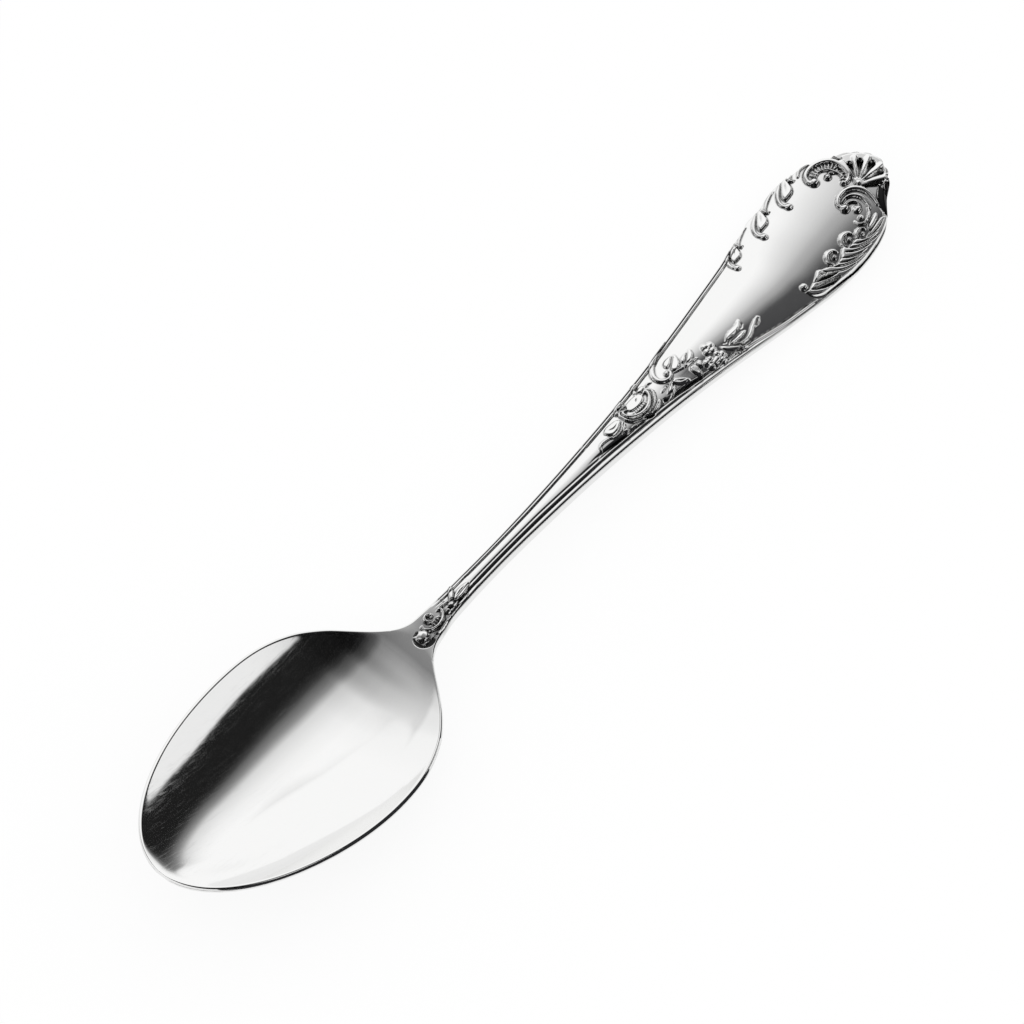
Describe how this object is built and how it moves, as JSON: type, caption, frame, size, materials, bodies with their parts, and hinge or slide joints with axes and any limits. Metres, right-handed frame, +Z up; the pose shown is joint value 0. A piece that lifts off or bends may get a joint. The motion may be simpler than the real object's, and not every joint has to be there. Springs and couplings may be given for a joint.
{
  "type": "dessert spoon",
  "caption": "Stamped metal dessert spoon with an oval bowl, a slim stem and a broad handle end with rococo scrolls, flowers and a shell tip.",
  "frame": {"origin": "middle of the spoon's length and width, on the surface it lies on", "axes": "+X runs along the spoon from the bowl to the tip of the handle, +Y across it, +Z up out of the bowl"},
  "size_m": [0.1789, 0.036, 0.0155],
  "materials": {
    "steel": "mirror-polished stainless steel"
  },
  "bodies": {
    "root": {"spoon": "steel"}
  },
  "joints": []
}
